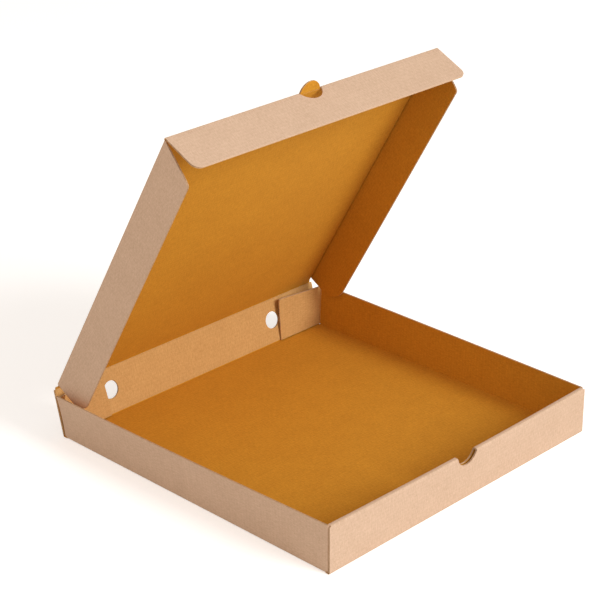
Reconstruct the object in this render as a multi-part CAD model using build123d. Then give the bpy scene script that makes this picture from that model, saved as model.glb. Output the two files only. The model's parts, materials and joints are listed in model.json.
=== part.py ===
from build123d import *
from math import radians, sin, tan
import os

# Pizza box folded from one sheet of fine corrugated board, with its lid standing open.
# Millimetres. The origin is the middle of the floor's underside, +Z is up, the back wall
# that carries the lid faces +Y, and the roll-over front wall with the finger notch faces -Y.

# Board and folds
board = 1.5
fold_outside = 1.2
fold_inside = 0.4
crease_gap = 0.3
layer_gap = 0.2

# Tray
tray_width = 330.0
tray_depth = 330.0
wall_height = 44.4

# Finger notch in the front wall, a circle cut by the wall's top edge
notch_radius = 12.5
notch_rise = 2.0

# Front wall's hidden tuck flaps, and the lock tabs of its inner panel
tuck_length = 110.0
lock_width = 30.0
lock_depth = 1.3
lock_spacing = 170.0

# Corner flaps folded in from the rear ends of the side walls
corner_length = 55.0
corner_drop = 2.0
corner_round = 5.0

# Steam vents in the back wall
vent_radius = 8.5
vent_spacing = 208.0
vent_height = 24.0

# Lid, its three flaps and its pull tab
side_clearance = 0.5
front_clearance = 1.8
front_crease_gap = 0.4
flap_height = 39.5
flap_round = 8.0
front_flap_spring = 4.0
side_flap_start = 6.5
side_flap_rear_round = 20.0
side_flap_slant = 20.0
side_flap_setback = 0.8
tab_radius = 12.5
tab_reach = 9.0
tab_lift = 20.0
tab_clearance = 0.9

# How the box stands open
back_wall_lean = 14.0
lid_opening = 60.0

half_width = tray_width / 2
half_depth = tray_depth / 2
nose = board / 2
front_thickness = 3 * board + 2 * layer_gap
rear_face = half_depth - board - crease_gap
tuck_face = -half_depth + board + layer_gap
front_inner_face = -half_depth + front_thickness
lid_half_width = half_width - board - side_clearance
# height of the lid's middle plane, and place of its back crease, with the lid shut
lid_plane = wall_height + crease_gap + nose
lid_hinge_y = half_depth - nose
# how far the front flap's outer face stays behind the front wall, so that it can spring out
flap_swing = (flap_height - nose) * sin(radians(front_flap_spring))
front_crease_y = front_inner_face + front_clearance + flap_swing + nose
panel_front = front_crease_y + nose + front_crease_gap


def block(x0, x1, y0, y1, z0, z1):
    """A box given by its lowest and highest corner."""
    return Pos((x0 + x1) / 2, (y0 + y1) / 2, (z0 + z1) / 2) * Box(x1 - x0, y1 - y0, z1 - z0)


def rod_x(radius, x0, x1, y, z):
    """A cylinder along X, the rounded edge of a panel at its crease."""
    return Pos((x0 + x1) / 2, y, z) * Rot(0, 90, 0) * Cylinder(radius, x1 - x0)


def drill_y(radius, x, z, y0, y1):
    """A cylinder along Y, the tool for a hole through an upright wall."""
    return Pos(x, (y0 + y1) / 2, z) * Rot(90, 0, 0) * Cylinder(radius, y1 - y0)


def edges_at(shape, along, y=None, z=None):
    """The edges of a shape that run along an axis, and lie at a given y or z."""
    found = shape.edges().filter_by(along)
    if y is not None:
        found = found.filter_by(lambda e: abs(e.center().Y - y) < 0.01)
    if z is not None:
        found = found.filter_by(lambda e: abs(e.center().Z - z) < 0.01)
    return found


def floor_and_sides():
    """The floor with both side walls turned up from it: one channel along Y."""
    shell = block(-half_width, half_width, tuck_face, rear_face, 0, wall_height)
    shell = fillet(edges_at(shell, Axis.Y, z=0), fold_outside)
    inside = half_width - board
    space = block(-inside, inside, tuck_face - 1, rear_face + 1, board, wall_height + 1)
    space = fillet(edges_at(space, Axis.Y, z=board), fold_inside)
    return shell - space


def side_folds():
    """The tools that round the outer corners where the side walls turn into their end flaps."""
    tools = []
    for side in (-1, 1):
        for face, inward in ((tuck_face, 1), (rear_face, -1)):
            centre_x = side * (half_width - fold_outside)
            centre_y = face + inward * fold_outside
            xs = sorted((side * (half_width + 1), centre_x))
            ys = sorted((face - inward, centre_y))
            corner = block(xs[0], xs[1], ys[0], ys[1], -1, wall_height + 1)
            pin = Pos(centre_x, centre_y, wall_height / 2) * Cylinder(fold_outside, wall_height + 4)
            tools.append(corner - pin)
    return tools


def front_wall():
    """The roll-over wall: outer panel, top band and inner panel, with a space for the tuck flaps."""
    outer = -half_depth
    wall = block(-half_width, half_width, outer, front_inner_face, 0, wall_height)
    wall = fillet(edges_at(wall, Axis.X, y=outer), fold_outside)
    wall = fillet(edges_at(wall, Axis.X, y=front_inner_face, z=wall_height), fold_outside)
    past = half_width + 1
    space = block(-past, past, outer + board, front_inner_face - board, board, wall_height - board)
    wall -= fillet(space.edges().filter_by(Axis.X), fold_inside)
    # everything behind the outer panel fits between the side walls
    reach = half_width - board - layer_gap
    for side in (-1, 1):
        xs = sorted((side * reach, side * past))
        wall -= block(xs[0], xs[1], outer + board, front_inner_face + 1, -1, wall_height + 1)
    # the inner panel stops just above the floor, apart from its lock tabs
    inner = front_inner_face - board - fold_inside
    return wall - block(-past, past, inner, front_inner_face + 1, board, board + layer_gap)


def tuck_flap(side):
    """The end flap of a side wall, folded in behind the front wall's outer panel."""
    xs = sorted((side * (half_width - nose), side * (half_width - tuck_length)))
    low = board + layer_gap
    return block(xs[0], xs[1], tuck_face, tuck_face + board, low, wall_height - low)


def corner_flap(side):
    """The flap folded in from a side wall's rear end, loose in front of the back wall."""
    xs = sorted((side * (half_width - nose), side * (half_width - corner_length)))
    top = wall_height - corner_drop
    flap = block(xs[0], xs[1], rear_face - board, rear_face, board + 2 * layer_gap, top)
    free = flap.edges().filter_by(Axis.Y).sort_by(lambda e: abs(e.center().X))[:2]
    return fillet(free.sort_by(Axis.Z)[-1:], corner_round)


def tray():
    shape = floor_and_sides() + front_wall()
    for side in (-1, 1):
        shape += tuck_flap(side)
        shape += corner_flap(side)
    for tool in side_folds():
        shape -= tool
    inner = front_inner_face - board
    above = board + layer_gap
    half = lock_width / 2
    slot = half + layer_gap
    for x in (-lock_spacing / 2, lock_spacing / 2):
        cut = block(x - slot, x + slot, inner - layer_gap, front_inner_face + layer_gap, -1, above)
        shape = shape - cut + block(x - half, x + half, inner, front_inner_face, board - lock_depth, above + layer_gap)
    notch = drill_y(notch_radius, 0, wall_height + notch_rise, -half_depth - 1, front_inner_face + 1)
    return shape - notch


def back_wall():
    """The wall between the floor and the lid, upright, with its two steam vents."""
    wall = block(-half_width, half_width, half_depth - board, half_depth, nose, wall_height)
    wall += rod_x(nose, -half_width, half_width, half_depth - nose, nose)
    for x in (-vent_spacing / 2, vent_spacing / 2):
        wall -= drill_y(vent_radius, x, vent_height, half_depth - board - 1, half_depth + 1)
    return wall


def lid_panel():
    """The lid's panel, shut, with the pull tab that stays behind when the front flap folds down."""
    reach = lid_half_width - board - crease_gap
    panel = block(-reach, reach, panel_front, lid_hinge_y, lid_plane - nose, lid_plane + nose)
    panel += rod_x(nose, -reach, reach, lid_hinge_y, lid_plane)
    disc = Pos(0, front_crease_y + tab_radius - tab_reach, lid_plane) * Cylinder(tab_radius, board)
    tab = disc & block(-tab_radius, tab_radius, front_crease_y - tab_reach - 1, panel_front, 0, 2 * lid_plane)
    tab = tab.rotate(Axis((0, panel_front, lid_plane), (-1, 0, 0)), tab_lift)
    rise = front_crease_y + tab_radius - tab_reach - panel_front
    root = (tab_radius**2 - rise**2) ** 0.5 - front_crease_gap
    return panel + tab + rod_x(nose, -root, root, panel_front, lid_plane)


def lid_front_flap():
    """The lid's front flap, hanging square, notched where the pull tab was cut from it."""
    bottom = lid_plane + nose - flap_height
    y0 = front_crease_y - nose
    y1 = front_crease_y + nose
    flap = block(-lid_half_width, lid_half_width, y0, y1, bottom, lid_plane)
    flap = fillet(edges_at(flap, Axis.Y, z=bottom), flap_round)
    flap += rod_x(nose, -lid_half_width, lid_half_width, front_crease_y, lid_plane)
    centre = lid_plane + tab_radius - tab_reach
    flap -= drill_y(tab_radius + tab_clearance, 0, centre, y0 - 1, y1 + 1)
    return flap.rotate(Axis((0, front_crease_y, lid_plane), (1, 0, 0)), -front_flap_spring)


def lid_side_flap(side):
    """A side flap, hanging square: rounded behind to pass the corner flap, slanted in front."""
    top = lid_plane + nose
    bottom = top - flap_height
    rear = lid_hinge_y - side_flap_start
    front = panel_front + side_flap_setback
    tip = front + flap_height * tan(radians(side_flap_slant))
    face = make_face(Polyline((rear, top), (rear, bottom), (tip, bottom), (front, top), close=True))
    low = face.vertices().filter_by(lambda v: abs(v.Y - bottom) < 0.01).sort_by(Axis.X)
    face = fillet(low[1], side_flap_rear_round)
    low = face.vertices().filter_by(lambda v: abs(v.Y - bottom) < 0.01).sort_by(Axis.X)
    face = fillet(low[0], flap_round)
    plate = Pos(side * (lid_half_width - nose), 0, 0) * extrude(Plane.YZ * face, nose, both=True)
    outer = plate.edges().filter_by(Axis.Y).filter_by(lambda e: abs(e.center().Z - top) < 0.01)
    outer = outer.sort_by(lambda e: abs(e.center().X))[-1:]
    return fillet(outer, fold_outside)


def open_lid(shape):
    """Turn a piece of the shut lid up about its back crease, and lean it with the back wall."""
    lifted = shape.rotate(Axis((0, lid_hinge_y, lid_plane), (-1, 0, 0)), lid_opening - back_wall_lean)
    return lean(lifted)


def lean(shape):
    """Lean a piece back about the crease between the floor and the back wall."""
    return shape.rotate(Axis((0, lid_hinge_y, nose), (-1, 0, 0)), back_wall_lean)


pieces = {
    "tray": tray(),
    "back_wall": lean(back_wall()),
    "lid_panel": open_lid(lid_panel()),
    "lid_front_flap": open_lid(lid_front_flap()),
    "lid_left_flap": open_lid(lid_side_flap(-1)),
    "lid_right_flap": open_lid(lid_side_flap(1)),
}

os.makedirs("parts", exist_ok=True)
for name, shape in pieces.items():
    export_step(shape, "parts/" + name + ".step")
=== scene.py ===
# %% [markdown]
# # A pizza box, standing open
# A pizza box is one die-cut sheet of corrugated board: two smooth papers, called liners,
# with a wavy paper, the flutes, between them. The sheet is scored, folded and tucked, and
# nothing is glued. Here every panel is made as real board, so that the flutes show at the
# cut edges, and every crease that moves gets a strip of its own.

# %% Load the frame
import json
import bpy
import numpy as np
from mathutils import Matrix


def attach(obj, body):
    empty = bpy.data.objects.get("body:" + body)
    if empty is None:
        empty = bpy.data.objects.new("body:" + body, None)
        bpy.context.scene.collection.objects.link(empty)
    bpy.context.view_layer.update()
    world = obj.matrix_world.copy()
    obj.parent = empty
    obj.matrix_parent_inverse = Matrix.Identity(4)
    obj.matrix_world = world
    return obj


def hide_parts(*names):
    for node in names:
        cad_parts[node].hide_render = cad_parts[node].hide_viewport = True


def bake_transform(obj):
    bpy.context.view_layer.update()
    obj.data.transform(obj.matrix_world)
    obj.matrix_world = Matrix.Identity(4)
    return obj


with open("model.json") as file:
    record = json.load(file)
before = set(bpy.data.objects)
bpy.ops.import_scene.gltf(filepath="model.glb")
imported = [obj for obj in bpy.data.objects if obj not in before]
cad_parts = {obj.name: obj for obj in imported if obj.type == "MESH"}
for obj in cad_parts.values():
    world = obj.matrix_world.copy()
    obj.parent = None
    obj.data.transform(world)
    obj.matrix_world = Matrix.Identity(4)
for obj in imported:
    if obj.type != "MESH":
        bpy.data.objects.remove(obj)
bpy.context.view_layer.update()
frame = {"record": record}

# %% [markdown]
# The joints of the frame say where the creases are, so the places of the lid and its flaps
# are read from them. All sizes below are in millimetres until a mesh is made.

# %% Creases and directions
METRE = 1000.0
hinges = {j["name"]: j for j in frame["record"]["behaviour"]["joints"]}


def hinge_point(name):
    """The place of a joint, in millimetres."""
    return METRE * np.array(hinges[name]["pos_m"], float)


X, Y, Z = np.eye(3)
floor_crease = hinge_point("back_wall_fold")
lid_crease = hinge_point("lid_hinge")
front_crease = hinge_point("front_flap_fold")
wall_up = (lid_crease - floor_crease) / np.linalg.norm(lid_crease - floor_crease)
wall_out = np.cross(wall_up, X)
lid_length = np.linalg.norm(front_crease - lid_crease)
lid_along = (front_crease - lid_crease) / lid_length
lid_out = np.cross(lid_along, X)
SPRING_DEGREES = 4.0
spring = np.radians(SPRING_DEGREES)
flap_down = np.sin(spring) * lid_along - np.cos(spring) * lid_out
flap_out = np.cos(spring) * lid_along + np.sin(spring) * lid_out
print("lid length %.1f mm" % lid_length)
print("the wall leans %.1f degrees" % np.degrees(np.arcsin(wall_up[1])))

# %% [markdown]
# Board of this kind is 1.5 mm thick, with liners of about 0.3 mm and a flute every 3.4 mm.
# The tray's sizes are the real box's own.

# %% Board and tray sizes
BOARD = 1.5
HALF = BOARD / 2
LINER = 0.3
FLUTE = 3.4
MEDIUM = 0.22
FOLD = 0.85
TRAY_HALF = 165.0
WALL_HEIGHT = 44.4
TUCK_FACE = -163.3
REAR_FACE = 163.2
LID_HALF = 163.0
SIDE_CREASE = abs(hinge_point("left_flap_fold")[0])
OUTSIDE, INSIDE, EDGE = 0, 1, 2

# %% [markdown]
# The cardboard's three papers, and a paler copy of the inside one that carries painted light,
# are worked out from noise in the sheet's own flat coordinates, so that the fibres and the faint
# washboard lines over the flutes follow each fold. A scene would slide them if they followed the world.

# %% Paper materials


def node(tree, kind, **values):
    """A new shader node with its plain properties and socket values set."""
    made = tree.nodes.new("ShaderNode" + kind)
    for key, value in values.items():
        if hasattr(made, key):
            setattr(made, key, value)
        else:
            made.inputs[key.replace("_", " ")].default_value = value
    return made


def math(tree, operation, a, b=None):
    """A Math node on a socket and a socket or number."""
    made = tree.nodes.new("ShaderNodeMath")
    made.operation = operation
    for place, value in enumerate((a, b)):
        if value is None:
            continue
        if isinstance(value, (int, float)):
            made.inputs[place].default_value = value
        else:
            tree.links.new(value, made.inputs[place])
    return made.outputs[0]


def paper(name, dark, light, fleck, wash=0.0, rough=0.9, seed=0.0, specks=0.5, grain=1.0):
    """Kraft paper: a mix of two colours by fine, middle and broad noise with washboard
    lines, and flecks where a finer noise is high."""
    material = bpy.data.materials.new(name)
    material.use_nodes = True
    tree = material.node_tree
    shader = tree.nodes["Principled BSDF"]
    flat = node(tree, "UVMap", uv_map="sheet")
    place = node(tree, "Mapping")
    place.inputs["Location"].default_value = (seed, seed * 0.7, seed * 0.3)
    tree.links.new(flat.outputs["UV"], place.inputs["Vector"])

    def noise(scale, detail, stretch=(1.0, 1.0, 1.0)):
        turned = node(tree, "Mapping")
        turned.inputs["Scale"].default_value = stretch
        tree.links.new(place.outputs["Vector"], turned.inputs["Vector"])
        made = node(tree, "TexNoise", noise_dimensions="2D")
        made.inputs["Scale"].default_value = scale
        made.inputs["Detail"].default_value = detail
        made.inputs["Roughness"].default_value = 0.6
        tree.links.new(turned.outputs["Vector"], made.inputs["Vector"])
        return math(tree, "SUBTRACT", made.outputs["Fac"], 0.5)

    fine = noise(1100.0, 3.0)
    fibre = noise(420.0, 4.0, (0.55, 1.6, 1.0))
    broad = noise(55.0, 4.0)
    cloud = noise(9.0, 3.0)
    shade = math(tree, "MULTIPLY", fine, 1.1 * grain)
    shade = math(tree, "ADD", shade, math(tree, "MULTIPLY", fibre, 1.2 * grain))
    shade = math(tree, "ADD", shade, math(tree, "MULTIPLY", broad, 0.4))
    shade = math(tree, "ADD", shade, math(tree, "MULTIPLY", cloud, 0.3))
    split = node(tree, "SeparateXYZ")
    tree.links.new(flat.outputs["UV"], split.inputs[0])
    ripple = math(tree, "SINE", math(tree, "MULTIPLY", split.outputs["X"], 2 * np.pi * METRE / FLUTE))
    shade = math(tree, "ADD", shade, math(tree, "MULTIPLY", ripple, wash))
    shade = math(tree, "ADD", shade, 0.5)
    mix = node(tree, "Mix", data_type="RGBA")
    tree.links.new(shade, mix.inputs["Factor"])
    mix.inputs[6].default_value = (*dark, 1)
    mix.inputs[7].default_value = (*light, 1)
    spots = noise(640.0, 2.0, (1.0, 0.6, 1.0))
    spotted = node(tree, "MapRange")
    spotted.inputs["From Min"].default_value = 0.20
    spotted.inputs["From Max"].default_value = 0.30
    spotted.inputs["To Max"].default_value = specks
    tree.links.new(spots, spotted.inputs["Value"])
    flecked = node(tree, "Mix", data_type="RGBA")
    tree.links.new(spotted.outputs["Result"], flecked.inputs["Factor"])
    tree.links.new(mix.outputs[2], flecked.inputs[6])
    flecked.inputs[7].default_value = (*fleck, 1)
    tree.links.new(flecked.outputs[2], shader.inputs["Base Color"])
    height = math(tree, "ADD", math(tree, "MULTIPLY", fibre, 1.0), math(tree, "MULTIPLY", fine, 0.7))
    height = math(tree, "ADD", height, math(tree, "MULTIPLY", ripple, wash * 3.0))
    bump = node(tree, "Bump")
    bump.inputs["Strength"].default_value = 0.35
    bump.inputs["Distance"].default_value = 0.0002
    tree.links.new(height, bump.inputs["Height"])
    tree.links.new(bump.outputs["Normal"], shader.inputs["Normal"])
    shader.inputs["Roughness"].default_value = rough
    shader.inputs["Specular IOR Level"].default_value = 0.25
    return material


outside_paper = paper(
    "outside_liner", (0.52, 0.355, 0.24), (0.68, 0.485, 0.35), (0.36, 0.21, 0.12),
    wash=0.05, seed=0.0, specks=0.35)
inside_paper = paper(
    "inside_liner", (0.47, 0.193, 0.012), (0.65, 0.300, 0.025), (0.32, 0.11, 0.008),
    wash=0.05, seed=0.37, specks=0.45)
edge_paper = paper(
    "flute_paper", (0.52, 0.335, 0.19), (0.72, 0.50, 0.31), (0.34, 0.19, 0.10),
    seed=0.71, specks=0.4, grain=1.4)
# A copy of the inside liner, painted paler: painted light, because the back wall's inside faces the light. It is used
# on the back wall and the side walls' end flaps.
painted_light_inside_paper = paper(
    "inside_liner_painted_light", (0.49, 0.265, 0.085), (0.66, 0.385, 0.145), (0.34, 0.14, 0.03),
    wash=0.05, seed=0.53, specks=0.45)
papers = [outside_paper, inside_paper, edge_paper, painted_light_inside_paper]
print("papers:", [m.name for m in papers])

# %% [markdown]
# A mesh is gathered from several closed parts: each part is its corners in millimetres, its
# faces with four corners, the paper of each face and the flat coordinates of each corner.
# A part whose faces all point inwards has a negative volume, and is turned over.

# %% Put parts together as one piece
made_pieces = {}
SHARP = np.radians(40.0)


def turned_out(part):
    """The part with its faces pointing out: the volume is a sixth of the sum of the
    corner products of its triangles."""
    points, faces, kinds, flat = part
    a, b, c, d = (points[faces[:, k]] for k in range(4))
    volume = (a * (np.cross(b, c) + np.cross(c, d))).sum()
    return points, (faces if volume > 0 else faces[:, ::-1]), kinds, flat


def piece(name, parts, body, replaces, change=None, inner=None):
    """One object from closed parts, riding on its body and standing for its CAD node.
    change moves the corners, and inner is another paper for its inside, if given."""
    points, faces, kinds, flat, start = [], [], [], [], 0
    for part in parts:
        p, f, k, u = turned_out(part)
        points.append(p)
        faces.append(f + start)
        kinds.append(k)
        flat.append(u)
        start += len(p)
    points, faces, kinds, flat = (np.concatenate(v) for v in (points, faces, kinds, flat))
    if change is not None:
        points = change(points)
    mesh = bpy.data.meshes.new(name)
    mesh.vertices.add(len(points))
    mesh.vertices.foreach_set("co", (points / METRE).astype(np.float32).ravel())
    mesh.loops.add(faces.size)
    mesh.loops.foreach_set("vertex_index", faces.astype(np.int32).ravel())
    mesh.polygons.add(len(faces))
    mesh.polygons.foreach_set("loop_start", np.arange(0, faces.size, 4, dtype=np.int32))
    mesh.polygons.foreach_set("material_index", kinds.astype(np.int32))
    mesh.update(calc_edges=True)
    mesh.set_sharp_from_angle(angle=SHARP)
    layer = mesh.uv_layers.new(name="sheet")
    layer.data.foreach_set("uv", (flat[faces.ravel()] / METRE).astype(np.float32).ravel())
    for each in (outside_paper, inner or inside_paper, edge_paper):
        mesh.materials.append(each)
    made = bpy.data.objects.new(name, mesh)
    bpy.context.scene.collection.objects.link(made)
    if body is not None:
        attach(made, body)
    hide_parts(replaces)
    made_pieces[name] = len(faces) * 2
    return made


# %% [markdown]
# A cut panel of board is a flat tube: the outside liner, the inside liner and the two
# pressed edges that run along the flutes close round it, and its two other ends are open,
# where the flutes show. It is a ring in the plane across the flutes, carried along them.

# %% The liners of a panel
PRESS_REACH = 0.9
PRESS_DEPTH = 0.3


def pressed(before, after, press):
    """The share of the full pressing at a place, from its distances to the two edges."""
    return press[0] * np.exp(-before / PRESS_REACH) + press[1] * np.exp(-after / PRESS_REACH)


def ring(across, inset, press):
    """The closed ring round a panel in its cross-section: along the outside, round the
    far edge, back along the inside and round the near edge. The board is pressed thinner
    towards each edge, by its share of press and a falling exponential of the distance."""
    near, far = across[0] + inset, across[-1] - inset
    line = near + (across - across[0]) * (far - near) / (across[-1] - across[0])
    half = HALF * (1 - PRESS_DEPTH * pressed(line - near, far - line, press)) - inset
    s = np.concatenate([line, [far + 0.12], line[::-1], [near - 0.12]])
    n = np.concatenate([half, [0.0], -half[::-1], [0.0]])
    return s, n


def quads(rows, columns):
    """The faces of a grid whose columns run round a ring: each joins a corner, the next
    round the ring, and the same two in the next row."""
    r = np.arange(rows - 1)[:, None] * columns
    c = np.arange(columns)[None, :]
    d = (c + 1) % columns
    return np.stack(np.broadcast_arrays(r + c, r + d, r + columns + d, r + columns + c), -1).reshape(-1, 4)


def liners(across, low, high, place, shares, press=(1, 1)):
    """A panel's liners as one closed part. low and high give where the panel starts and
    stops along its flutes, as functions of the place across them, and shares are the
    places in between, from 0 to 1."""
    points, flat = [], []
    for inset in (0.0, LINER):
        s, n = ring(across, inset, press)
        a, b = low(np.clip(s, across[0], across[-1])), high(np.clip(s, across[0], across[-1]))
        t = a + shares[:, None] * (b - a)
        s, n = np.broadcast_to(s, t.shape), np.broadcast_to(n, t.shape)
        points.append(place(s.ravel(), t.ravel(), n.ravel()))
        flat.append(np.stack([s.ravel(), t.ravel()], 1))
    rows, columns = len(shares), 2 * len(across) + 2
    outer = quads(rows, columns)
    size = rows * columns
    inner = outer[:, ::-1] + size
    c = np.arange(columns)
    d = (c + 1) % columns
    last = (rows - 1) * columns
    start = np.stack([d, c, c + size, d + size], 1)
    stop = np.stack([c + last, d + last, d + last + size, c + last + size], 1)
    side = np.full(columns, EDGE)
    side[: len(across) - 1] = OUTSIDE
    side[len(across) + 1 : 2 * len(across)] = INSIDE
    kinds = np.concatenate([np.tile(side, rows - 1), np.full(len(inner), EDGE), np.full(2 * columns, EDGE)])
    return np.concatenate(points), np.concatenate([outer, inner, start, stop]), kinds, np.concatenate(flat)


def flutes(near, far, low, high, place, rows=2, margin=0.9):
    """The wavy paper between a panel's near and far edges as one closed part: its height
    is a sine of the place across the flutes, as high as the pressed board leaves room
    for, and it is as thick as the medium."""
    steps = max(int(round((far - near - 2 * margin) / FLUTE * 8)), 8)
    s = np.linspace(near + margin, far - margin, steps)
    half = HALF * (1 - PRESS_DEPTH * pressed(s - near, far - s, (1, 1))) - LINER - MEDIUM / 2 - 0.03
    wave = half * np.sin(2 * np.pi * s / FLUTE)
    s2 = np.concatenate([s, s[::-1]])
    n2 = np.concatenate([wave + MEDIUM / 2, wave[::-1] - MEDIUM / 2])
    a, b = low(s2), high(s2)
    shares = np.linspace(0, 1, rows)[:, None]
    t = a + shares * (b - a)
    s3, n3 = np.broadcast_to(s2, t.shape), np.broadcast_to(n2, t.shape)
    points = place(s3.ravel(), t.ravel(), n3.ravel())
    round_it = quads(rows, 2 * steps)
    i = np.arange(steps - 1)
    j = 2 * steps - 1 - i
    last_row = (rows - 1) * 2 * steps
    start = np.stack([i + 1, i, j, j - 1], 1)
    stop = np.stack([i, i + 1, j - 1, j], 1) + last_row
    faces = np.concatenate([round_it, start, stop])
    return points, faces, np.full(len(faces), EDGE), np.stack([s3.ravel(), t.ravel()], 1)


def even(start, stop, step):
    """Places from start to stop, about step apart."""
    return np.linspace(start, stop, max(int(np.ceil(abs(stop - start) / step)) + 1, 2))


def rounding(start, stop, count=7):
    """Places from start to stop that crowd towards both ends, as a cosine does, for a rounded outline."""
    return start + (stop - start) * (1 - np.cos(np.linspace(0, np.pi, count))) / 2


def level(value):
    """An outline that stays at one value."""
    return lambda s: np.full(np.shape(s), float(value))


def held(outline, depth):
    """The outline moved by depth, for the far end of a strip of flutes."""
    return lambda s: outline(s) + depth


FLUTE_DEPTH = 6.0
RECESS = 0.12

# %% [markdown]
# A fold turns the sheet on a small arc. A line with rounded corners is worked out once,
# as a table of length against place and heading, and a panel's points read their place
# from it.

# %% Folded lines


def folded(corners, radius=FOLD):
    """The line through the corners, each turned on an arc of the given radius: arrays of
    length, place and heading, as complex numbers."""
    corners = np.array([complex(*c) for c in corners])
    heading = np.diff(corners)
    heading = heading / abs(heading)
    places, headings = [corners[0]], [heading[0]]
    for k in range(1, len(corners) - 1):
        turn = np.angle(heading[k] / heading[k - 1])
        start = corners[k] - heading[k - 1] * radius * np.tan(abs(turn) / 2)
        centre = start + 1j * np.sign(turn) * radius * heading[k - 1]
        part = np.exp(1j * turn * np.linspace(0, 1, 7))
        places += list(centre + (start - centre) * part)
        headings += list(heading[k - 1] * part)
    places, headings = np.array(places + [corners[-1]]), np.array(headings + [heading[-1]])
    step = abs(np.diff(places))
    return np.concatenate([[0], np.cumsum(step)]), places, headings


def follow(line, length, off):
    """The places at those lengths of a folded line, moved off to its right by off: two arrays."""
    table, places, headings = line
    past = length - np.clip(length, table[0], table[-1])
    place = np.interp(length, table, places.real) + 1j * np.interp(length, table, places.imag)
    heading = np.interp(length, table, headings.real) + 1j * np.interp(length, table, headings.imag)
    heading = heading / abs(heading)
    place = place + past * heading - 1j * heading * off
    return place.real, place.imag


def marks(line, extra=()):
    """The lengths at which a folded line needs a row of points."""
    found = np.unique(np.round(np.concatenate([line[0], np.asarray(extra, float)]), 4))
    return found[np.concatenate([[True], np.diff(found) > 0.02])]


# %% [markdown]
# A box that has been folded by hand isn't dead straight. The side walls' top edges bow
# outwards, most towards the back where no tuck holds them, and the front wall bows a
# little. The same smooth field moves every tray piece, so that nothing comes apart.

# %% The walls' bow
LEFT_BOW, RIGHT_BOW, FRONT_BOW = 7.5, 2.6, 2.4


def smooth(value, low, high):
    """0 below low, 1 above high, and a smooth step between."""
    t = np.clip((value - low) / (high - low), 0, 1)
    return t * t * (3 - 2 * t)


def bow(points):
    """Moves points outwards by the bow times the height's share to the power 1.4, and by
    a sine along the wall."""
    x, y, z = points.T
    rise = np.clip(z / WALL_HEIGHT, 0, 1.05) ** 1.4
    along = np.sin(np.pi / 2 * np.clip((y + TRAY_HALF) / (2 * TRAY_HALF), 0, 1))
    reach = smooth(abs(x), 70, 125)
    side = np.where(x < 0, -LEFT_BOW, RIGHT_BOW) * along * rise * reach
    front = FRONT_BOW * rise * np.cos(np.pi * x / 330) * smooth(-y, 130, 158)
    return np.stack([x + side, y - front, z], 1)


# %% [markdown]
# ## The tray
# The floor turns up into both side walls along two folds. It is one sheet whose flutes run
# from side to side.

# %% Tray floor and side walls
centre = TRAY_HALF - HALF
CORNER = 2.9
floor_line = folded([(-centre, WALL_HEIGHT), (-centre, HALF), (centre, HALF), (centre, WALL_HEIGHT)])
floor_length = floor_line[0][-1]
floor_rows = marks(floor_line, np.concatenate([even(0, 40, 4), even(50, floor_length - 50, 22), even(floor_length - 40, floor_length, 4)]))


def on_floor(s, t, n):
    """A point of the floor and side walls: t follows the line from the left wall's top to
    the right one's, s runs from front to back, and n is off the outer face."""
    x, z = follow(floor_line, t, n)
    return np.stack([x, s, z], 1)


floor_start, floor_stop = TUCK_FACE + CORNER - 0.25, REAR_FACE - CORNER + 0.25
floor_across = even(floor_start, floor_stop, 12)
floor_parts = [liners(floor_across, level(0), level(floor_length), on_floor, floor_rows / floor_length, (0, 0))]
for low, high in ((RECESS, FLUTE_DEPTH), (floor_length - FLUTE_DEPTH, floor_length - RECESS)):
    floor_parts.append(flutes(floor_start, floor_stop, level(low), level(high), on_floor, 2, 0.0))
piece("tray_floor_and_sides", floor_parts, "tray", "tray", bow)
print("floor line %.1f mm long" % floor_length)

# %% [markdown]
# The front wall is folded up, rolled over the tucked ends of the side walls and down again
# inside, where two small tabs of its edge sit in slots of the floor. It is three boards
# thick, so its top is a narrow band. The finger notch is cut through all of it.

# %% Round cuts


def cut(target, points, faces):
    """Cuts a closed shape out of a piece, and keeps the result as its mesh."""
    mesh = bpy.data.meshes.new("cutter")
    mesh.from_pydata((points / METRE).tolist(), [], faces)
    for each in papers:
        mesh.materials.append(each)
    mesh.polygons.foreach_set("material_index", np.full(len(faces), EDGE, np.int32))
    cutter = bpy.data.objects.new("cutter", mesh)
    bpy.context.scene.collection.objects.link(cutter)
    change = target.modifiers.new("cut", "BOOLEAN")
    change.operation, change.solver, change.object = "DIFFERENCE", "EXACT", cutter
    bpy.context.view_layer.update()
    seen = target.evaluated_get(bpy.context.evaluated_depsgraph_get())
    result = bpy.data.meshes.new_from_object(seen)
    target.modifiers.remove(change)
    result.set_sharp_from_angle(angle=SHARP)
    target.data = result
    bpy.data.objects.remove(cutter)
    print(target.name, "has", len(result.polygons), "faces after its cut")


def cut_round(target, centre, axis, radius, length):
    """Cuts a round hole through a piece, with a cylinder of 72 sides."""
    angle = np.linspace(0, 2 * np.pi, 72, endpoint=False)
    axis = np.array(axis, float) / np.linalg.norm(axis)
    u = np.cross(axis, X if abs(axis[0]) < 0.9 else Z)
    u = u / np.linalg.norm(u)
    v = np.cross(axis, u)
    circle = radius * (np.cos(angle)[:, None] * u + np.sin(angle)[:, None] * v)
    points = np.concatenate([centre - axis * length / 2 + circle, centre + axis * length / 2 + circle])
    i = np.arange(72)
    j = (i + 1) % 72
    cut(target, points, np.stack([i, j, j + 72, i + 72], 1).tolist() + [i[::-1].tolist(), (i + 72).tolist()])


# %% Front wall
BAND_BACK = -160.1
front_line = folded([
    (-(TUCK_FACE + CORNER), HALF), (centre, HALF), (centre, WALL_HEIGHT - HALF),
    (-BAND_BACK + HALF, WALL_HEIGHT - HALF), (-BAND_BACK + HALF, 1.75),
])
front_turns = front_line[0]


def on_front(s, t, n):
    """A point of the front wall: s follows the line up, over and down, t runs across the box, and n is off its outer face."""
    y, z = follow(front_line, s, n)
    return np.stack([t, -y, z], 1)


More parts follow.
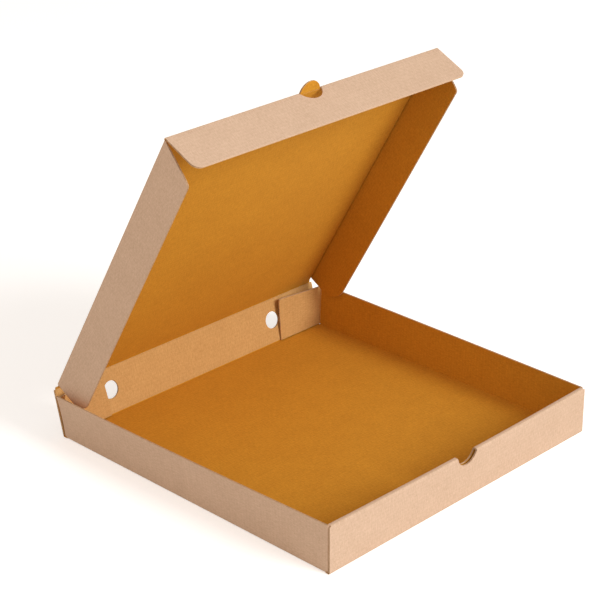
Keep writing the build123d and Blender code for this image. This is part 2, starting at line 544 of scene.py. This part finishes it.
def front_reach(s):
    """Half the width: the outer panel is as wide as the box, and what is behind it fits
    between the side walls."""
    return np.where(s < front_turns[9] + 0.2, TRAY_HALF, TRAY_HALF - BOARD - 0.25)


front_across = marks(front_line, np.concatenate([even(0, front_turns[-1], 6), [front_turns[9] + 0.19, front_turns[9] + 0.24]]))
front_low, front_high = (lambda s: -front_reach(s)), front_reach
front_shares = even(0, 1, 1 / 24)
front_parts = [liners(front_across, front_low, front_high, on_front, front_shares)]
for low, high in (
    (held(front_low, RECESS), held(front_low, FLUTE_DEPTH)),
    (held(front_high, -FLUTE_DEPTH), held(front_high, -RECESS)),
    (level(-20), level(20)),
):
    front_parts.append(flutes(0, front_turns[9] + 0.1, low, high, on_front, 9))
    front_parts.append(flutes(front_turns[9] + 0.3, front_turns[-1], low, high, on_front, 9, 0.3))
LOCK_PLACE, LOCK_HALF, LOCK_END = 85.0, 15.0, 0.2
lock_length = front_turns[-1] + 1.75 - LOCK_END
for x in (-LOCK_PLACE, LOCK_PLACE):
    front_parts.append(liners(even(front_turns[-1] - 0.3, lock_length, 0.4), level(x - LOCK_HALF), level(x + LOCK_HALF), on_front, even(0, 1, 0.125), (0, 1)))
front_wall = piece("tray_front_wall", front_parts, "tray", "tray", bow)
cut_round(front_wall, np.array([0, -162.5, WALL_HEIGHT + 2.0]), Y, 12.5, 16)

# %% [markdown]
# Each side wall carries an end flap at the front, tucked inside the front wall, and one at
# the back, folded in against the back wall. Their flutes stand upright, like the wall's.
# The rear flaps are loose and lean back a little.

# %% End flaps of the side walls
TUCK_END, CORNER_END, CORNER_LEAN = 55.0, 110.0, 5.5
FLAP_DROP, FLAP_LIFT, CORNER_ROUND, CORNER_RISE = 2.0, 1.9, 2.5, 0.9


def corner_lean(points):
    """The bow, and a lean to the back that grows with the height and with the distance from the fold."""
    x, y, z = bow(points).T
    out = np.clip((TRAY_HALF - 4 - abs(points[:, 0])) / (TRAY_HALF - 4 - CORNER_END), 0, 1)
    lean = CORNER_LEAN * out ** 1.2 * z / WALL_HEIGHT * (points[:, 1] > 0)
    return np.stack([x, y + lean, z], 1)


for side, word in ((-1, "left"), (1, "right")):
    for end, face, free in (("tuck", -TUCK_FACE, TUCK_END), ("corner", REAR_FACE, CORNER_END)):
        back = 1 if end == "corner" else -1
        line = folded([(centre, face - CORNER), (centre, face - HALF), (free, face - HALF)])
        fold, length = line[0][7], line[0][-1]
        rounded = CORNER_ROUND if end == "corner" else 1.0

        def on_end(s, t, n, side=side, back=back, line=line):
            """A point of an end flap: s runs from the wall round the fold to the free end, t is the height and n is off the outer face."""
            x, y = follow(line, s, n)
            return np.stack([side * x, back * y, t], 1)

        def top(s, fold=fold, length=length, rounded=rounded, rise=CORNER_RISE * (back > 0)):
            """The upper edge: as high as the wall up to the fold, then lower, rising a little again, and rounded at the free end."""
            reach = np.clip(s - (length - rounded), 0, rounded)
            corner = rounded - np.sqrt(rounded ** 2 - reach ** 2)
            return WALL_HEIGHT - FLAP_DROP * smooth(s - fold, -0.2, 1.4) + rise * smooth(s, fold, length) - corner

        def bottom(s):
            """The lower edge: clear of the floor past the fold."""
            return FLAP_LIFT + 0.0 * s

        across = marks(line, np.concatenate([fold + even(-0.4, 1.6, 0.25), even(fold + 2, length - 6, 6), rounding(length - 5, length, 9)]))
        parts = [liners(across, bottom, top, on_end, even(0, 1, 0.125), (0, 1))]
        parts.append(flutes(0, length, held(top, -FLUTE_DEPTH), held(top, -RECESS), on_end, 3, 1.2))
        rides = "tray" if end == "tuck" else None
        # The flaps' inside uses the copy of the inside liner with painted light.
        flap = piece("%s_%s_flap" % (word, end), parts, rides, "tray", corner_lean, painted_light_inside_paper)
        if end == "corner":
            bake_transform(flap)

# %% [markdown]
# ## The back wall
# It stands between two creases and has two round steam vents.

# %% Back wall
wall_length = np.linalg.norm(lid_crease - floor_crease)


def on_back(s, t, n):
    """A point of the back wall: s runs up it from the floor's crease, t across the box and n off its outer face."""
    return floor_crease + s[:, None] * wall_up + t[:, None] * X + n[:, None] * wall_out


CREASE_GAP = 0.9
VENT, VENT_HEIGHT, VENT_PLACE = 8.5, 24.0, 104.0
back_across = even(CREASE_GAP, wall_length - CREASE_GAP, 3)
back_parts = [liners(back_across, level(-TRAY_HALF), level(TRAY_HALF), on_back, even(0, 1, 0.05))]
for low, high in ((-TRAY_HALF + RECESS, -TRAY_HALF + 6), (TRAY_HALF - 6, TRAY_HALF - RECESS), (-VENT_PLACE - 12, -VENT_PLACE + 12), (VENT_PLACE - 12, VENT_PLACE + 12)):
    back_parts.append(flutes(CREASE_GAP, wall_length - CREASE_GAP, level(low), level(high), on_back))
# The back wall's inside uses the copy of the inside liner with painted light.
back_wall = piece("back_wall_panel", back_parts, "back_wall", "back_wall", inner=painted_light_inside_paper)
for x in (-VENT_PLACE, VENT_PLACE):
    cut_round(back_wall, floor_crease + (VENT_HEIGHT - HALF) * wall_up + x * X, wall_out, VENT, 8)

# %% [markdown]
# ## The lid
# The lid's panel has three flaps and a pull tab, which is cut from the front flap and stays
# in the panel's plane, lifted a little, when that flap is folded down.

# %% Lid panel


def on_lid(s, t, n):
    """A point of the lid: s runs from its back crease to its front, t across it and n off its outer face."""
    return lid_crease + s[:, None] * lid_along + t[:, None] * X + n[:, None] * lid_out


lid_across = even(CREASE_GAP, lid_length - CREASE_GAP, 16)
lid_reach = SIDE_CREASE - 0.95
lid_part = liners(lid_across, level(-lid_reach), level(lid_reach), on_lid, even(0, 1, 1 / 16))
piece("lid_panel_board", [lid_part], "lid_panel", "lid_panel")

# %% Pull tab
TAB, TAB_REACH, TAB_LIFT = 12.5, 9.0, np.radians(20.0)
tab_root = -1.4


def on_tab(s, t, n):
    """A point of the tab: s runs out from the front crease, and past the root the tab turns up by its lift."""
    out = s - tab_root
    along = lid_length + tab_root + out * np.cos(TAB_LIFT) - n * np.sin(TAB_LIFT)
    up = out * np.sin(TAB_LIFT) + n * np.cos(TAB_LIFT)
    return lid_crease + along[:, None] * lid_along + t[:, None] * X + up[:, None] * lid_out


def tab_reach(s):
    """Half the tab's width, a chord of its circle."""
    return np.sqrt(np.maximum(TAB ** 2 - (s + TAB - TAB_REACH) ** 2, 0.8))


tab_across = np.concatenate([[tab_root], rounding(tab_root + 0.4, TAB_REACH - 0.02, 22)])
tab_parts = [liners(tab_across, lambda s: -tab_reach(s), tab_reach, on_tab, even(0, 1, 0.125))]
piece("pull_tab", tab_parts, "lid_panel", "lid_panel")

# %% Front flap
FLAP_HEIGHT = 38.75


def on_flap(s, t, n):
    """A point of the front flap: s runs from the crease to the free edge, t across it and n off its outer face."""
    return front_crease + s[:, None] * flap_down + t[:, None] * X + n[:, None] * flap_out


def flap_reach(s):
    """Half the flap's width, with the two lower corners rounded."""
    below = np.clip(s - (FLAP_HEIGHT - 8.0), 0, 8.0)
    return LID_HALF - (8.0 - np.sqrt(64.0 - below ** 2))


NOTCH = TAB + 0.9
NOTCH_DEPTH = NOTCH - (TAB - TAB_REACH)


def notch_reach(s):
    """Half the notch's width: a chord of its circle, and nothing below it."""
    return np.sqrt(np.maximum(NOTCH ** 2 - (s + TAB - TAB_REACH) ** 2, 0))


flap_across = np.concatenate([
    rounding(CREASE_GAP, NOTCH_DEPTH, 13)[:-1], even(NOTCH_DEPTH, FLAP_HEIGHT - 8, 3), rounding(FLAP_HEIGHT - 8, FLAP_HEIGHT, 11)[1:]
])
flap_parts = []
# The two halves overlap a little under the notch, and differ by a hair in thickness so
# that their faces don't coincide.
for side in (-1, 1):
    near = lambda s, side=side: side * np.where(s < NOTCH_DEPTH, notch_reach(s), -0.1)
    far = lambda s, side=side: side * flap_reach(s)
    halves = lambda s, t, n, side=side: on_flap(s, t, n * (1 + 0.01 * side))
    flap_parts.append(liners(flap_across, near, far, halves, even(0, 1, 0.1)))
    flap_parts.append(flutes(CREASE_GAP, FLAP_HEIGHT, held(near, side * RECESS), held(near, side * 6), on_flap))
    flap_parts.append(flutes(CREASE_GAP, FLAP_HEIGHT, held(far, -side * 6), held(far, -side * RECESS), on_flap))
piece("front_flap_board", flap_parts, "lid_front_flap", "lid_front_flap")

# %% Side flaps
FLAP_START, FLAP_SLANT = 6.5, np.tan(np.radians(20.0))
flap_front = lid_length - 1.95
FLARE = 0.4


def side_drop(s, radius):
    """How far a side flap hangs at each place along the lid: the rear corner is rounded,
    and the front end is slanted with a small rounding."""
    rear = np.clip(FLAP_START + radius - s, 0, radius)
    drop = FLAP_HEIGHT - (radius - np.sqrt(radius ** 2 - rear ** 2))
    slant = (flap_front - s) / FLAP_SLANT
    soft = 3.0
    lower = np.minimum(drop, slant)
    blend = np.clip(soft - abs(drop - slant) * 0.35, 0, soft)
    return np.maximum(lower - blend ** 2 / (2 * soft), 1.6)


for side, word, radius in ((-1, "left", 15.0), (1, "right", 20.0)):
    outline = lambda s, radius=radius: side_drop(s, radius)

    def on_side_flap(s, t, n, side=side):
        """A point of a side flap: s runs along the lid, t hangs down from it and n is off
        the outer face. The free edge flares out by a sine along the flap."""
        share = np.clip((s - FLAP_START) / (flap_front - FLAP_START), 0, 1)
        flare = FLARE * np.sin(np.pi * share) * np.clip(t / FLAP_HEIGHT, 0, 1) ** 1.5
        x = side * (LID_HALF - HALF + n + flare)
        return lid_crease + s[:, None] * lid_along - t[:, None] * lid_out + x[:, None] * X
    across = np.concatenate([
        rounding(FLAP_START, FLAP_START + radius, 19)[:-1], even(FLAP_START + radius, flap_front - 26, 12)[:-1],
        even(flap_front - 26, flap_front - 0.6, 1.2),
    ])
    parts = [liners(across, level(1.05), outline, on_side_flap, even(0, 1, 0.125))]
    parts.append(flutes(FLAP_START, flap_front - 0.6, held(outline, -5.0), held(outline, -RECESS), on_side_flap, 3))
    name = "lid_%s_flap" % word
    piece("%s_flap_board" % word, parts, name, name)
print("lid made")

# %% [markdown]
# ## Creases
# A scored crease is the board pressed thin and bent. Its strip goes from one panel's outer
# face, round an arc about the joint's axis, to the other's.

# %% Crease strips


def crease(name, centre, first, second, radius, inner, along, start, stop, node_name, lip=1.5):
    """A strip about an axis. first and second are each a panel's (direction, outward
    normal), and the arc between the two normals is a weighted sum by sines."""
    turn = np.arccos(np.clip(first[1] @ second[1], -1, 1))
    share = np.linspace(0, 1, 9)[:, None]
    normal = (np.sin((1 - share) * turn) * first[1] + np.sin(share * turn) * second[1]) / np.sin(turn)
    outer = np.concatenate([[radius * first[1] + lip * first[0]], radius * normal, [radius * second[1] + lip * second[0]]])
    under = np.concatenate([[inner * first[1] + lip * first[0]], inner * normal, [inner * second[1] + lip * second[0]]])
    profile = np.concatenate([outer, under[::-1]])
    count = len(outer)
    rows = even(start, stop, 12)
    points = (centre + rows[:, None, None] * along + profile[None]).reshape(-1, 3)
    round_it = quads(len(rows), 2 * count)
    i = np.arange(count - 1)
    j = 2 * count - 1 - i
    last = (len(rows) - 1) * 2 * count
    ends = [np.stack([i + 1, i, j, j - 1], 1), np.stack([i, i + 1, j - 1, j], 1) + last]
    side = np.full(2 * count, EDGE)
    side[: count - 1] = OUTSIDE
    side[count : 2 * count - 1] = INSIDE
    kinds = np.concatenate([np.tile(side, len(rows) - 1), np.full(2 * (count - 1), EDGE)])
    length = np.concatenate([[0], np.cumsum(np.linalg.norm(np.diff(profile, axis=0), axis=1))])
    flat = np.stack(np.broadcast_arrays(length[None, :], rows[:, None]), -1).reshape(-1, 2)
    made = piece(name, [(points, np.concatenate([round_it] + ends), kinds, flat)], None, node_name)
    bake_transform(made)
    return made


SKIN = HALF - 0.02
crease("floor_crease", floor_crease, (-Y, -Z), (wall_up, wall_out), SKIN, 0.05, X, -TRAY_HALF, TRAY_HALF, "tray", 4.4)
crease("back_crease", lid_crease, (-wall_up, wall_out), (lid_along, lid_out), SKIN, 0.05, X, -LID_HALF, LID_HALF, "lid_panel")
tab_side = 13.2
for word, start, stop in (("left", -LID_HALF, -tab_side), ("right", tab_side, LID_HALF)):
    crease("front_crease_" + word, front_crease, (-lid_along, lid_out), (flap_down, flap_out), SKIN, 0.05, X, start, stop, "lid_front_flap")
for side, word in ((-1, "left"), (1, "right")):
    name = "lid_%s_flap" % word
    middle = hinge_point(word + "_flap_fold") * (0, 1, 1) + side * SIDE_CREASE * X
    rise = HALF - (middle - lid_crease) @ lid_out
    crease("%s_side_crease" % word, middle, (-side * X, lid_out), (-lid_out, side * X), rise - 0.02, rise - 0.8, lid_along, FLAP_START, flap_front, name)
print("creases made, side axis %.2f mm under the lid's outer face" % rise)

# %% [markdown]
# ## Floor, light and camera
# A plain pale floor, a soft light from the front and a pale sky, and a long lens.

# %% Stage
stage_mesh = bpy.data.meshes.new("stage_floor")
stage_mesh.from_pydata([(-12, -12, 0), (12, -12, 0), (12, 12, 0), (-12, 12, 0)], [], [(0, 1, 2, 3)])
stage = bpy.data.objects.new("stage_floor", stage_mesh)
bpy.context.scene.collection.objects.link(stage)
white = bpy.data.materials.new("stage_white")
white.use_nodes = True
tree = white.node_tree
shader = tree.nodes["Principled BSDF"]
shader.inputs["Base Color"].default_value = (0.9, 0.9, 0.9, 1)
shader.inputs["Roughness"].default_value = 1.0
shader.inputs["Specular IOR Level"].default_value = 0.0
path = node(tree, "LightPath")
seen_white = math(tree, "MAXIMUM", path.outputs["Is Camera Ray"], path.outputs["Is Glossy Ray"])
glow = math(tree, "MULTIPLY", seen_white, 0.42)
shader.inputs["Emission Color"].default_value = (1, 1, 1, 1)
tree.links.new(glow, shader.inputs["Emission Strength"])
stage_mesh.materials.append(white)

world = bpy.data.worlds.new("soft_sky")
bpy.context.scene.world = world
world.use_nodes = True
tree = world.node_tree
sky = tree.nodes["Background"]
path = node(tree, "LightPath")
seen_white = math(tree, "MAXIMUM", path.outputs["Is Camera Ray"], path.outputs["Is Glossy Ray"])
light = node(tree, "Mix", data_type="RGBA")
light.inputs[6].default_value = (0.50, 0.465, 0.43, 1)
light.inputs[7].default_value = (1, 1, 1, 1)
tree.links.new(seen_white, light.inputs["Factor"])
tree.links.new(light.outputs[2], sky.inputs["Color"])


def lamp(name, place, target, size, power, tint=(1, 1, 1)):
    """A square area light at a place, facing a target, in metres and watts."""
    data = bpy.data.lights.new(name, "AREA")
    data.color = tint
    data.energy, data.size = power, size
    made = bpy.data.objects.new(name, data)
    back = np.array(place, float) - np.array(target, float)
    turn = Matrix.Translation(place) @ Matrix(aim(back)).to_4x4()
    made.matrix_world = turn
    bpy.context.scene.collection.objects.link(made)


def aim(back, roll=0.0):
    """The turn of a lamp or camera whose back points along back, turned by roll about its view."""
    back = back / np.linalg.norm(back)
    right = np.cross(Z, back)
    right = right / np.linalg.norm(right)
    up = np.cross(back, right)
    c, s = np.cos(roll), np.sin(roll)
    return np.stack([c * right + s * up, c * up - s * right, back], 1).tolist()


lamp("key", (0.9, -3.3, 2.0), (0, 0, 0.1), 1.6, 112)
lamp("fill", (-3.0, -0.9, 2.0), (0, 0, 0.1), 2.5, 30, (1.0, 0.80, 0.64))

# %% Camera
azimuth, elevation, roll = np.radians((-45.532, 24.558, -0.27))
target = np.array((0.19343, 0.21828, 0.0))
back = np.array((np.sin(azimuth) * np.cos(elevation), -np.cos(azimuth) * np.cos(elevation), np.sin(elevation)))
eye = bpy.data.cameras.new("camera")
eye.sensor_width, eye.lens = 36.0, 117.27
eye.clip_start, eye.clip_end = 0.05, 60
camera = bpy.data.objects.new("camera", eye)
camera.matrix_world = Matrix.Translation(target + back * 2.0235) @ Matrix(aim(back, roll)).to_4x4()
bpy.context.scene.collection.objects.link(camera)
bpy.context.scene.camera = camera
bpy.context.scene.view_settings.view_transform = "Standard"

# %% [markdown]
# The last cell prints how many triangles each piece has, and how many in all.

# %% Finish
print("triangles:", made_pieces, "in all", sum(made_pieces.values()))
